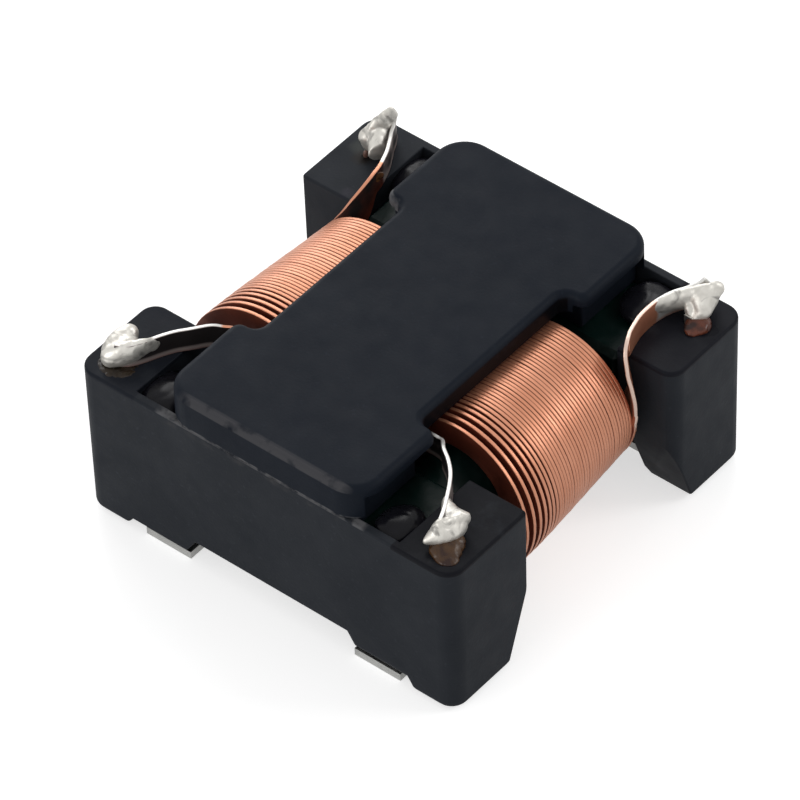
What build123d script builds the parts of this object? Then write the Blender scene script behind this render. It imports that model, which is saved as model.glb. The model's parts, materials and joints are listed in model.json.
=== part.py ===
from build123d import *
import math
import os

# Surface-mount common mode choke: two edgewise flat-wire windings on a closed ferrite frame, held in a
# moulded carrier with four corner towers. Millimetres, +Z up, origin at the centre of the footprint.
# X runs across the two windings and Y along them.

# ---------------------------------------------------------------- driving dimensions
# Moulded base
base_x = 16.0              # across the windings, at the tower tops
base_y = 15.56             # along the windings, at the tower tops
tower_rise = 0.65          # of the tower tops over the core's yokes
draft_angle = 0.5          # the outer walls lean in towards the board by this many degrees
outer_corner_radius = 0.7
round_bay_radius = 0.6     # outer corners of the bay: two opposite ones are well rounded,
sharp_bay_radius = 0.15    # and the other two nearly sharp
tower_width = 2.4          # X length of a tower's top
bay_length = 7.7           # gap along Y between a near tower and a far one, which holds the winding
leg_slope_height = 3.1     # below this the inner face of a tower slopes away from the winding
leg_slope_run = 1.0
foot_chamfer = 0.25        # at the bay
foot_edge_chamfer = 0.25   # around the outside of the two right feet, which are more worn
under_slope_run = 2.2      # the beams between the feet are undercut by this much from the bay
end_wall = 0.35
foot_x = 6.3               # inner edge of each foot on the board
foot_rise_run = 0.3
pad_relief = 0.48          # height of the underside over the solder pads
arch_height = 1.12         # height of the underside between the pads
arch_half_x = 3.2
arch_step_run = 0.4
spine_width = 2.4
spine_drop = 0.3           # of the spine's top below the floor that the core lies on
web_thickness = 1.0        # insulating wall between the two windings

# Cover
cover_rise = 1.37          # of the cover's top over the tower tops
lid_thickness = 0.47
lid_half_x = 4.27          # over the core yokes
waist_half_x = 3.42        # between the windings
waist_half_y = 3.8
waist_gap = 0.05           # the waist's sides reach down to this far over the windings
lid_corner_radius = 1.15
notch_radius = 0.4
lid_edge_radius = 0.28
apron_thickness = 0.5
rib_thickness = 0.6
rib_inset = 0.55           # how far the ribs under the lid stand back from its edge

# Ferrite core, two U-shaped halves
leg_pitch = 7.8            # between the centres of the two wound legs
leg_radius = 1.55
axis_height = 4.15         # legs and windings
yoke_height = 3.5
yoke_depth = 3.32
yoke_chamfer = 0.22
core_gap = 0.04            # glue film between the halves

# Windings of flat enamelled wire, wound on edge
turns = 38
wire_width = 0.95
wire_thickness = 0.13
winding_radius = 2.88      # outer, at the far end
near_flare = 0.17          # each winding has sprung open by this much in radius at its near end,
near_splay = 0.3           # moved outward by this much
near_drop = 0.08           # and down by this much
near_room = 0.85           # from the near towers to the first turn at its top
far_room = 0.57            # from the last turn to the far towers
loose_extra = 0.26         # of the pitch at the near end over that of the close turns
loose_turns = 9
turn_lean = 0.38           # how far the foot of the first turn leans towards the near end
facets_per_turn = 13
lead_spans = 2             # facets between two given points of a lead-out

# Terminals, tinned strip
strip_thickness = 0.3
post_width = 0.4
post_inset_x = 1.25        # from the tower's outer faces
post_inset_y = 1.4
post_height = 0.32         # above the tower
pad_inner_x = 3.55
pad_outer_x = 5.5
pad_setback = 0.22         # from the base's end face
pad_length = 2.0
riser_height = 1.3

# Clearances
seat_gap = 0.05            # between mouldings, core and legs
joint_gap = 0.004          # film between a solder joint and what it wets

os.makedirs("parts", exist_ok=True)

# ---------------------------------------------------------------- values worked out from them
half_x = base_x / 2
half_y = base_y / 2
bay_half = bay_length / 2
tower_inner_x = half_x - tower_width
trough_half_x = tower_inner_x
yoke_half_x = trough_half_x - seat_gap * 2
yoke_outer_y = half_y - end_wall - seat_gap * 2
yoke_inner_y = yoke_outer_y - yoke_depth
yoke_bottom = axis_height - yoke_height / 2
yoke_top = axis_height + yoke_height / 2
trough_floor = yoke_bottom - seat_gap
spine_top = trough_floor - spine_drop
tower_height = yoke_top + tower_rise
total_height = tower_height + cover_rise
lid_under = total_height - lid_thickness
waist_under = axis_height + winding_radius + waist_gap
leg_x = leg_pitch / 2
wire_centre_radius = winding_radius - wire_width / 2
winding_start = -bay_half + near_room
winding_end = bay_half - far_room
tight_pitch = (winding_end - winding_start - loose_extra * loose_turns / 3) / (turns - 1)
post_x = half_x - post_inset_x
post_y = half_y - post_inset_y


def block(x0, x1, y0, y1, z0, z1):
    """A box given by its limits."""
    return Pos((x0 + x1) / 2, (y0 + y1) / 2, (z0 + z1) / 2) * Box(x1 - x0, y1 - y0, z1 - z0)


def skin(rings):
    """Solid with flat facets between rings of as many points each, closed by its two end rings."""
    outlines = [list(reversed(rings[0])), rings[-1]]
    for ring, following in zip(rings, rings[1:]):
        for k in range(len(ring)):
            a, b = ring[k], ring[(k + 1) % len(ring)]
            c, d = following[(k + 1) % len(ring)], following[k]
            outlines += [(a, b, c), (a, c, d)]
    return Solid(Shell([Face(Wire.make_polygon(outline, close=True)) for outline in outlines]))


# ---------------------------------------------------------------- flat wire
def ribbon(stations, width, thickness):
    """Flat wire through (centre, width direction) stations, with straight facets between them."""
    centres = [Vector(*centre) for centre, _ in stations]
    rings = []
    for i, (_, across) in enumerate(stations):
        along = (centres[min(i + 1, len(centres) - 1)] - centres[max(i - 1, 0)]).normalized()
        across = Vector(*across)
        across = (across - along * across.dot(along)).normalized() * (width / 2)
        through = along.cross(across).normalized() * (thickness / 2)
        rings.append([
            centres[i] + across + through,
            centres[i] - across + through,
            centres[i] - across - through,
            centres[i] + across - through,
        ])
    return skin(rings)


def smoothed(stations):
    """The stations of a free length of wire, with more between them on a smooth curve."""
    points = [Vector(*centre) for centre, _ in stations]
    widths = [Vector(*across) for _, across in stations]
    result = []
    for i in range(len(points) - 1):
        p0, p1, p2, p3 = points[max(i - 1, 0)], points[i], points[i + 1], points[min(i + 2, len(points) - 1)]
        for k in range(lead_spans):
            t = k / lead_spans
            bend = (p0 * 2 - p1 * 5 + p2 * 4 - p3) * t ** 2 + (p1 * 3 - p0 - p2 * 3 + p3) * t ** 3
            centre = p1 + ((p2 - p0) * t + bend) * 0.5
            across = widths[i] * (1 - t) + widths[i + 1] * t
            result.append((tuple(centre), tuple(across)))
    return result + [stations[-1]]


def slack_at(turn):
    """How open the winding is at this turn: 1 at the near end, falling to 0 ever more slowly."""
    return max(0.0, 1 - turn / loose_turns) ** 2


def winding_stations(side, start_angle, end_angle):
    """Stations of the wound length, from start_angle in the near turn to end_angle in the last one."""
    sweep_angle = 360 * (turns - 1) + end_angle - start_angle
    steps = round(sweep_angle / 360 * facets_per_turn)
    stations = []
    y = winding_start
    for i in range(steps + 1):
        turn = i / steps * sweep_angle / 360
        nearness = 1 - i / steps
        radius = wire_centre_radius + near_flare * nearness
        angle = math.radians(start_angle + 360 * turn)
        radial = (side * math.cos(angle), 0, math.sin(angle))
        lean = turn_lean * slack_at(turn) * (1 - math.sin(angle)) / 2
        centre = (
            side * (leg_x + near_splay * nearness) + radius * radial[0],
            y - lean,
            axis_height - near_drop * nearness + radius * radial[2],
        )
        stations.append((centre, radial))
        y += (tight_pitch + loose_extra * slack_at(turn)) * sweep_angle / 360 / steps
    return stations


# ---------------------------------------------------------------- lead-outs
# The wire stands on edge. Its centre line is given in wire widths. On a tower top it is measured from the
# terminal post: towards the other side, towards the bay, and up from where the wire stands on the top.
# Beside a winding's near end it is measured from the winding's axis outward, from the bay's edge away from
# the turns, and up from where the first turn has its top. Beside the far end it is measured from the point
# where the wire leaves the last turn: outward, along Y and up, with the direction of its upper edge.
lead_height = tower_height + wire_width / 2 + seat_gap / 2
near_axis_x = leg_x + near_splay
near_axis_height = axis_height - near_drop
near_centre_radius = wire_centre_radius + near_flare
upright = (0, 0, 1)

near_tower_points = {
    -1: [(-0.2, -0.6, 0), (0.18, -0.38, 0), (0.45, 0.03, 0), (0.77, 0.72, 0), (1.03, 1.18, 0), (1.36, 1.6, 0)],
    1: [(0.1, -0.35, 0), (0.34, 0.2, 0), (0.61, 0.69, 0), (0.98, 1.31, 0), (1.3, 1.75, 0)],
}
near_winding_points = {
    -1: [(0.93, 0.43, 0.34), (0.7, 0.17, 0.22)],
    1: [(0.9, 0.44, 0.34), (0.36, 0.02, 0.22)],
}
# Angle in the first turn, where 0 is outward and 90 is up, and how far the wire is ahead of that turn
near_entry = {
    -1: [(84, 0.64), (100, 0.54), (120, 0.35)],
    1: [(92, 0.48), (106, 0.36), (124, 0.24)],
}
far_winding_points = {
    -1: [
        ((-0.11, 0.42, 0.4), (0.55, -0.2, 0.81)),
        ((-0.2, 0.79, 0.86), (0.3, -0.25, 0.92)),
        ((-0.3, 1.06, 1.24), (0.1, -0.15, 0.98)),
    ],
    1: [
        ((0.2, 0.15, 0.44), (0.88, -0.47, 0)),
        ((0.26, 0.15, 1.0), (0.75, -0.66, 0)),
        ((0.26, 0.14, 1.52), (0.68, -0.73, 0)),
        ((0.08, 0.12, 2.36), (0.6, -0.78, 0.15)),
        ((-0.06, 0.18, 2.8), (0.45, -0.6, 0.66)),
        ((-0.14, 0.3, 2.98), (0.15, -0.3, 0.94)),
    ],
}
far_tower_points = {
    -1: [
        (1.39, 1.85, 0),
        (1.28, 1.44, 0),
        (1.17, 1.03, 0),
        (1.0, 0.62, 0),
        (0.74, 0.16, 0),
        (0.51, -0.22, 0),
        (0.38, -0.5, 0.04),
        (0.26, -0.7, 0.1),
    ],
    1: [
        (0.66, 2.66, 0),
        (0.81, 2.21, 0),
        (0.92, 1.74, 0),
        (0.95, 1.25, 0),
        (0.92, 0.75, 0),
        (0.75, 0.1, 0),
        (0.42, -0.42, 0.05),
        (0.1, -0.82, 0.22),
        (-0.06, -1.1, 0.42),
    ],
}
join_angle = 145           # where the wire has reached the first turn
leave_angle = {-1: 42, 1: 2}


def tower_stations(side, end, points):
    """Stations on a tower top, for points in wire widths from the terminal post."""
    stations = []
    for inward, back, up in points:
        x = post_x - inward * wire_width
        y = post_y - back * wire_width
        stations.append(((side * x, end * y, lead_height + up * wire_width), upright))
    return stations


def near_lead(side):
    """Stations from the solder joint to the first turn."""
    stations = tower_stations(side, -1, near_tower_points[side])
    for out, beyond, up in near_winding_points[side]:
        x = near_axis_x + out * wire_width
        y = -bay_half - beyond * wire_width
        z = near_axis_height + near_centre_radius + up * wire_width
        stations.append(((side * x, y, z), upright))
    for degrees, ahead in near_entry[side]:
        angle = math.radians(degrees)
        radial = (side * math.cos(angle), 0, math.sin(angle))
        x = side * near_axis_x + near_centre_radius * radial[0]
        z = near_axis_height + near_centre_radius * radial[2]
        stations.append(((x, winding_start - ahead * wire_width, z), radial))
    return smoothed(stations)


def far_lead(side):
    """Stations from the last turn to the solder joint."""
    angle = math.radians(leave_angle[side])
    leave_x = leg_x + wire_centre_radius * math.cos(angle)
    leave_z = axis_height + wire_centre_radius * math.sin(angle)
    stations = []
    for (out, along, up), (edge_out, edge_along, edge_up) in far_winding_points[side]:
        x = side * (leave_x + out * wire_width)
        place = (x, winding_end + along * wire_width, leave_z + up * wire_width)
        stations.append((place, (side * edge_out, edge_along, edge_up)))
    return smoothed(stations + tower_stations(side, 1, far_tower_points[side]))


def winding(side):
    """One winding with both lead-outs, as one length of wire."""
    wound = winding_stations(side, join_angle, leave_angle[side])
    return ribbon(near_lead(side) + wound + far_lead(side), wire_width, wire_thickness)


def lead_end(side, far):
    """The few millimetres of lead that a solder joint grips, a little fuller than the wire."""
    stations = far_lead(side)[-4 * lead_spans:] if far else near_lead(side)[:4 * lead_spans]
    return ribbon(stations, wire_width + joint_gap * 2, wire_thickness + joint_gap * 2)


# ---------------------------------------------------------------- terminals
def terminal(corner):
    """Tinned strip from the board pad, through the moulding, to a post on the tower top."""
    sx, sy = corner
    riser_x = pad_outer_x - strip_thickness / 2
    route = Polyline(
        (riser_x, 0),
        (riser_x, riser_height),
        (post_x, riser_height),
        (post_x, tower_height + post_height),
    )
    side_face = make_face(Plane.XZ * trace(route, line_width=strip_thickness).face().outer_wire())
    strip = Pos(0, post_y, 0) * extrude(side_face, amount=post_width / 2, both=True)
    strip -= block(0, half_x, 0, half_y, -strip_thickness * 2, 0)
    pad_outer_y = half_y - pad_setback
    pad = block(pad_inner_x, pad_outer_x, pad_outer_y - pad_length, pad_outer_y, 0, strip_thickness)
    clip = strip + pad
    if sx < 0:
        clip = mirror(clip, about=Plane.YZ)
    if sy < 0:
        clip = mirror(clip, about=Plane.XZ)
    return clip.solid()


# ---------------------------------------------------------------- moulded base
def bay_profile(points):
    """Symmetric profile across the bay, from (distance from the bay's middle, height) points."""
    above = tower_height + 1
    right = [(y, z) for y, z in points] + [(bay_half, above)]
    left = [(-y, z) for y, z in reversed(right)]
    return make_face(Plane.YZ * Polyline(*right, *left, close=True))


def base(terminals):
    """Carrier with four towers, two core troughs, feet and the web between the windings."""
    top_outline = Plane.XY.offset(tower_height) * RectangleRounded(base_x, base_y, outer_corner_radius)
    body = extrude(top_outline, amount=-tower_height, taper=draft_angle)

    leg_y = bay_half + leg_slope_run
    leg_face = [(leg_y + foot_chamfer, 0), (leg_y, foot_chamfer), (bay_half, leg_slope_height)]
    body -= extrude(bay_profile(leg_face), amount=half_x, both=True)
    for sign, radius in ((1, round_bay_radius), (-1, sharp_bay_radius)):
        bay_corners = body.edges().filter_by(
            lambda e: abs(abs(e.center().Y) - bay_half) < 0.01 and abs(e.center().X) > half_x - 0.5
            and abs(e.tangent_at(0.5).Z) > 0.9 and sign * e.center().X * e.center().Y > 0
        )
        body = fillet(bay_corners, radius)
    board_face = body.faces().sort_by(Axis.Z)[:2]
    rim = board_face.edges().filter_by(
        lambda e: abs(e.center().Y) > leg_y + foot_chamfer * 2 and e.center().X > -foot_x
    )
    body = chamfer(rim, foot_edge_chamfer)
    under_y = bay_half + under_slope_run
    beam_face = [(under_y, 0), (under_y, pad_relief), (bay_half, leg_slope_height)]
    body -= extrude(bay_profile(beam_face), amount=foot_x - foot_rise_run, both=True)

    relief = Polyline(
        (foot_x, 0),
        (foot_x - foot_rise_run, pad_relief),
        (arch_half_x + arch_step_run, pad_relief),
        (arch_half_x, arch_height),
        (-arch_half_x, arch_height),
        (-arch_half_x - arch_step_run, pad_relief),
        (-foot_x + foot_rise_run, pad_relief),
        (-foot_x, 0),
        close=True,
    )
    body -= extrude(make_face(Plane.XZ * relief), amount=half_y, both=True)

    for sy in (-1, 1):
        ends = sorted((sy * bay_half, sy * (half_y - end_wall)))
        body -= block(-trough_half_x, trough_half_x, *ends, trough_floor, tower_height)

    body += block(-spine_width / 2, spine_width / 2, -under_y, under_y, arch_height, spine_top)
    web_half_y = yoke_inner_y - seat_gap
    web_top = waist_under - seat_gap
    body += block(-web_thickness / 2, web_thickness / 2, -web_half_y, web_half_y, arch_height, web_top)
    for clip in terminals:
        body -= clip
    return body.solid()


# ---------------------------------------------------------------- cover
def lid_outline():
    """I-shaped plan of the cover: wide over the yokes, waisted between the windings."""
    plan = Rectangle(lid_half_x * 2, base_y)
    notch_depth = lid_half_x - waist_half_x
    for sx in (-1, 1):
        plan -= Pos(sx * (lid_half_x - notch_depth / 2), 0) * Rectangle(notch_depth, waist_half_y * 2)
    outer = plan.vertices().filter_by(lambda v: abs(v.Y) > half_y - 0.01)
    plan = fillet(outer, lid_corner_radius)
    notches = plan.vertices().filter_by(lambda v: abs(abs(v.Y) - waist_half_y) < 0.01)
    return fillet(notches, notch_radius)


def cover():
    """Flat pick-up lid with end aprons that stand on the base's end walls and ribs over the yokes."""
    plan = lid_outline()
    shell = extrude(Plane.XY.offset(tower_height) * plan, amount=total_height - tower_height)
    shell = fillet(shell.faces().sort_by(Axis.Z)[-1].edges(), lid_edge_radius)
    inner_y = half_y - apron_thickness
    shell -= block(-lid_half_x, lid_half_x, -inner_y, inner_y, tower_height, waist_under)
    waist_inner_x = waist_half_x - rib_thickness
    shell -= block(-waist_inner_x, waist_inner_x, -inner_y, inner_y, waist_under, lid_under)
    rib_x = lid_half_x - rib_inset
    rib_inner_y = waist_half_y + rib_inset
    for sy in (-1, 1):
        wide_ends = sorted((sy * waist_half_y, sy * inner_y))
        shell -= block(-lid_half_x, lid_half_x, *wide_ends, waist_under, lid_under)
        rib_ends = sorted((sy * rib_inner_y, sy * (inner_y + apron_thickness / 2)))
        well_ends = sorted((sy * (rib_inner_y + rib_thickness), sy * inner_y))
        rib = block(-rib_x, rib_x, *rib_ends, tower_height, lid_under)
        foot_ends = sorted((sy * rib_inner_y, sy * inner_y))
        rib += block(-rib_x, rib_x, *foot_ends, yoke_top + seat_gap, tower_height)
        well_x = rib_x - rib_thickness
        rib -= block(-well_x, well_x, *well_ends, yoke_top, lid_under)
        shell += rib
    return shell.solid()


# ---------------------------------------------------------------- ferrite core
def core_half(sy):
    """U-shaped half: a yoke in one end trough and two round legs that meet those of the other half."""
    yoke = block(-yoke_half_x, yoke_half_x, yoke_inner_y, yoke_outer_y, yoke_bottom, yoke_top)
    half = chamfer(yoke.edges(), yoke_chamfer)
    length = yoke_inner_y + yoke_chamfer * 2 - core_gap / 2
    for sx in (-1, 1):
        leg = Cylinder(leg_radius, length, align=(Align.CENTER, Align.CENTER, Align.MIN))
        half += Pos(sx * leg_x, core_gap / 2, axis_height) * Rot(-90, 0, 0) * leg
    if sy < 0:
        half = mirror(half, about=Plane.XZ)
    return half.solid()


# ---------------------------------------------------------------- solder joints and glue
lump_sides = 10
drop_levels = ((0, 0.84), (0.2, 1), (0.55, 0.9), (0.83, 0.58), (1, 0.22))   # height and width, as shares
pool_levels = ((0, 1), (0.8, 1), (1, 0.8))


def lump(foot, half_length, half_width, height, levels, turn_z=0, lean=(0, 0)):
    """Faceted drop that stands at foot, longest along Y turned by turn_z, its crown moved by lean."""
    rings = []
    for rise, share in levels:
        middle = Vector(*foot) + Vector(lean[0] * rise, lean[1] * rise, height * rise)
        ring = []
        for k in range(lump_sides):
            angle = 2 * math.pi * k / lump_sides
            corner = Vector(half_width * share * math.cos(angle), half_length * share * math.sin(angle), 0)
            ring.append(middle + corner.rotate(Axis.Z, turn_z))
        rings.append(ring)
    return skin(rings)


# Solder joints, in wire widths: outward shift from the post in X and Y, half length, half width, height,
# then the turn in degrees and the crown's lean, in wire widths too
solder_joints = {
    "near_left": (0.26, 0.05, 0.97, 0.61, 1.0, 12, (-0.05, 0.05)),
    "near_right": (-0.13, -0.05, 0.84, 0.58, 1.05, -10, (-0.08, 0.02)),
    "far_left": (0.05, 0.1, 0.9, 0.58, 1.63, -30, (0.16, 0.32)),
    "far_right": (0.0, 0.37, 1.0, 0.58, 1.21, -38, (0.05, 0.21)),
}

# Epoxy pools on the core that fill the pockets between the lid's sides and the towers
bead_length = 1.8
bead_overlap = 0.04        # more than the pocket's width, so that it wets both sides
bead_drop = 0.04           # of the pool's top below the tower top


def solder_joint(name, corner, post):
    """Lump that wets the tower top, the post and the end of the lead."""
    sx, sy = corner
    out_x, out_y, half_length, half_width, height, turn_z, lean = solder_joints[name]
    x = post_x + out_x * wire_width
    y = post_y + out_y * wire_width
    sizes = (half_length * wire_width, half_width * wire_width, height * wire_width)
    lean = (lean[0] * wire_width, lean[1] * wire_width)
    joint = lump((sx * x, sy * y, tower_height + joint_gap), *sizes, drop_levels, turn_z, lean)
    joint -= post
    joint -= lead_end(sx, sy > 0)
    return max(joint.solids(), key=lambda s: s.volume)


def glue_bead(corner, neighbours):
    """Black epoxy that bonds the cover to the base and core beside the lid's corner."""
    sx, sy = corner
    x = (lid_half_x + tower_inner_x) / 2
    y = half_y - end_wall - bead_length / 2
    bottom = yoke_top + joint_gap
    half_width = (tower_inner_x - lid_half_x) / 2 + bead_overlap
    height = tower_height - bead_drop - bottom
    bead = lump((sx * x, sy * y, bottom), bead_length / 2, half_width, height, pool_levels)
    for neighbour in neighbours:
        bead -= neighbour
    return max(bead.solids(), key=lambda s: s.volume)


# ---------------------------------------------------------------- build
corners = {"near_left": (-1, -1), "near_right": (1, -1), "far_left": (-1, 1), "far_right": (1, 1)}
terminals = {name: terminal(corner) for name, corner in corners.items()}
pieces = {"base": base(terminals.values()), "cover": cover()}
pieces["core_half_near"] = core_half(-1)
pieces["core_half_far"] = core_half(1)
pieces["winding_left"] = winding(-1)
pieces["winding_right"] = winding(1)
for name, corner in corners.items():
    pieces["terminal_" + name] = terminals[name]
    pieces["solder_joint_" + name] = solder_joint(name, corner, terminals[name])
    pieces["glue_bead_" + name] = glue_bead(corner, (pieces["base"], pieces["cover"]))

for name, piece in pieces.items():
    export_step(piece, f"parts/{name}.step")
    print(name, round(piece.volume, 3))
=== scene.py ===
import json
import math

import bmesh
import bpy
from mathutils import Matrix, Vector, noise

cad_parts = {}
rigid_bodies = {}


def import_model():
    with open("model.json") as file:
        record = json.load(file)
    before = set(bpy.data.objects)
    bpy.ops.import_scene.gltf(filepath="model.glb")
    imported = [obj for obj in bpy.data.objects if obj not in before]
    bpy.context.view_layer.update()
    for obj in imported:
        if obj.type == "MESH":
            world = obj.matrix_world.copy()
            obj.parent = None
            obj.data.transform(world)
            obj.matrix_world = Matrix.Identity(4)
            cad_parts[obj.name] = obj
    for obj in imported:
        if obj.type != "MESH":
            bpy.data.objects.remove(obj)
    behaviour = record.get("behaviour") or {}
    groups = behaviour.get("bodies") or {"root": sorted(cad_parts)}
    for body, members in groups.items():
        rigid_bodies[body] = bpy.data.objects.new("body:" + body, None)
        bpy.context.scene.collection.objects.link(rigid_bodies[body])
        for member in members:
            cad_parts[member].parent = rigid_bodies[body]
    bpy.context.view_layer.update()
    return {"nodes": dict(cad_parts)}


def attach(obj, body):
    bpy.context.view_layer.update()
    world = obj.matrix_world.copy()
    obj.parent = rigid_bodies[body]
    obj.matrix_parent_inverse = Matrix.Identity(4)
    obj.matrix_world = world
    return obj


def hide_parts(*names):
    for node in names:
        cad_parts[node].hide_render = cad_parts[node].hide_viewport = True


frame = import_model()
bpy.ops.object.select_all(action="DESELECT")


# ------------------------------------------------------------------------------------------ moulded base
# Carrier of the whole choke, injection moulded in near-black glass-filled nylon: four towers, the troughs
# that the core lies in, feet for the solder pads and the wall between the windings. Its edges are softly
# broken, as the tool leaves them, and flux has stained the tower tops round the joints.
mm = 0.001
half_y, tower_top, tower_inner_x = 7.78, 6.55, 5.6
top_break, wall_break, foot_break = 0.1, 0.05, 0.1
worn_break = 0.3                # under the right part of the near wall, where the moulding is worn
arch_top, foot_top = 1.3, 0.5   # an edge below them belongs to the near wall's arch, or to a foot
arch_depth = 0.25
arch_left_x, worn_left_x, arch_right_x = -2.0, 0.5, 6.0
in_line = 0.02                  # how near to a face's place its edges lie
rim_width = 0.05
weld_distance = 0.002
flat_within = math.radians(1)   # faces that turn by less are one face
sharp_from = math.radians(32)   # and an edge that turns by more is sharp
break_segments = 4


def base_break(place):
    """Radius of the base's edge that has its middle at this place, in millimetres."""
    if place.z > tower_top - in_line:
        inner = abs(place.x) < tower_inner_x + in_line and abs(place.y) < half_y - rim_width
        return wall_break if inner else top_break
    if place.z < arch_top and place.y < -half_y + arch_depth and arch_left_x < place.x < arch_right_x:
        return worn_break if place.x > worn_left_x else foot_break
    return foot_break if place.z < foot_top else wall_break


def softened_moulding(name, node, radius_at):
    """The moulding that a CAD node gives, with each sharp edge rounded by radius_at its middle."""
    piece = bpy.data.objects.new(name, frame["nodes"][node].data.copy())
    bpy.context.scene.collection.objects.link(piece)
    piece.data.materials.clear()
    bpy.context.view_layer.objects.active = piece
    piece.select_set(True)
    bpy.ops.object.mode_set(mode="EDIT")
    bpy.ops.mesh.select_all(action="SELECT")
    bpy.ops.mesh.customdata_custom_splitnormals_clear()
    bpy.ops.mesh.remove_doubles(threshold=weld_distance * mm)
    bpy.ops.mesh.dissolve_limited(angle_limit=flat_within)
    bpy.ops.object.mode_set(mode="OBJECT")
    skin = bmesh.new()
    skin.from_mesh(piece.data)
    weight = skin.edges.layers.float.new("bevel_weight_edge")
    for edge in skin.edges:
        if edge.is_manifold and abs(edge.calc_face_angle_signed()) > sharp_from:
            edge[weight] = radius_at((edge.verts[0].co + edge.verts[1].co) / 2 / mm) / worn_break
    skin.to_mesh(piece.data)
    skin.free()
    bpy.ops.object.shade_smooth_by_angle(angle=sharp_from)
    rounding = piece.modifiers.new("edge break", "BEVEL")
    rounding.width = worn_break * mm
    rounding.segments = break_segments
    rounding.limit_method = "WEIGHT"
    rounding.use_clamp_overlap = False
    rounding.harden_normals = True
    bpy.ops.object.modifier_apply(modifier=rounding.name)
    piece.select_set(False)
    return piece


def finish_nodes(name):
    """New material: its node tree, its finish shader and its Object coordinates in millimetres."""
    material = bpy.data.materials.new(name)
    material.use_nodes = True
    tree = material.node_tree
    shader = tree.nodes["Principled BSDF"]
    place = tree.nodes.new("ShaderNodeTexCoord")
    to_mm = tree.nodes.new("ShaderNodeMapping")
    to_mm.inputs["Scale"].default_value = (1 / mm,) * 3
    tree.links.new(place.outputs["Object"], to_mm.inputs["Vector"])
    return material, tree, shader, to_mm.outputs["Vector"]


def grain(tree, where, scale, detail=3.0, distortion=0.0):
    """Soft random pattern, from 0 to 1, with scale features to a millimetre."""
    pattern = tree.nodes.new("ShaderNodeTexNoise")
    pattern.inputs["Scale"].default_value = scale
    pattern.inputs["Detail"].default_value = detail
    pattern.inputs["Distortion"].default_value = distortion
    tree.links.new(where, pattern.inputs["Vector"])
    return pattern.outputs["Fac"]


def spread(tree, share, low, high, start=0.3, end=0.7):
    """The share between start and end, stretched to run from low to high."""
    stretch = tree.nodes.new("ShaderNodeMapRange")
    stretch.inputs["From Min"].default_value = start
    stretch.inputs["From Max"].default_value = end
    stretch.inputs["To Min"].default_value = low
    stretch.inputs["To Max"].default_value = high
    tree.links.new(share, stretch.inputs["Value"])
    return stretch.outputs["Result"]


def blended(tree, share, under, over):
    """Colour that goes from under to over with the share; each is a colour or another node's output."""
    mix = tree.nodes.new("ShaderNodeMix")
    mix.data_type = "RGBA"
    tree.links.new(share, mix.inputs["Factor"])
    for socket, colour in (("A", under), ("B", over)):
        target = [s for s in mix.inputs if s.name == socket and s.type == "RGBA"][0]
        if isinstance(colour, bpy.types.NodeSocket):
            tree.links.new(colour, target)
        else:
            target.default_value = (*colour, 1)
    return [s for s in mix.outputs if s.type == "RGBA"][0]


def worked(tree, operation, first, second):
    """Result of a sum, product or the like of two shares."""
    sum_node = tree.nodes.new("ShaderNodeMath")
    sum_node.operation = operation
    for socket, value in zip(sum_node.inputs, (first, second)):
        if isinstance(value, bpy.types.NodeSocket):
            tree.links.new(value, socket)
        else:
            socket.default_value = value
    return sum_node.outputs["Value"]


def relief(tree, shader, height, depth, strength=1.0):
    """Surface relief of that depth in millimetres."""
    bump = tree.nodes.new("ShaderNodeBump")
    bump.inputs["Distance"].default_value = depth * mm
    bump.inputs["Strength"].default_value = strength
    tree.links.new(height, bump.inputs["Height"])
    tree.links.new(bump.outputs["Normal"], shader.inputs["Normal"])


def around(tree, where, centre, reach, ragged=0.5):
    """Share that falls from 1 at a place to 0 at about its reach, with a ragged edge, in millimetres."""
    away = tree.nodes.new("ShaderNodeVectorMath")
    away.operation = "DISTANCE"
    away.inputs[1].default_value = centre
    tree.links.new(where, away.inputs[0])
    edge = worked(tree, "MULTIPLY", grain(tree, where, scale=2.2, detail=4.0), ragged * reach * 2)
    total = worked(tree, "ADD", away.outputs["Value"], edge)
    return spread(tree, total, low=1.0, high=0.0, start=reach * (0.45 + ragged), end=reach * (1.0 + ragged))


def banded(tree, where, axis, low, high, soft):
    """Share that is 1 between two places along an axis and falls to 0 within soft millimetres of them."""
    along = tree.nodes.new("ShaderNodeSeparateXYZ")
    tree.links.new(where, along.inputs["Vector"])
    rise = spread(tree, along.outputs[axis], 0, 1, low - soft, low)
    return worked(tree, "MULTIPLY", rise, spread(tree, along.outputs[axis], 1, 0, high, high + soft))


def ragged_mark_share(tree, where, bands, scale, coverage):
    """Share of a box of bands (axis, low, high, soft) that ragged marks cover."""
    more = 0.3 * coverage
    share = spread(tree, grain(tree, where, scale, detail=5.0), 0, 1, start=0.58 - more, end=0.76 - more)
    for band in bands:
        share = worked(tree, "MULTIPLY", share, banded(tree, where, *band))
    return share


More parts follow.
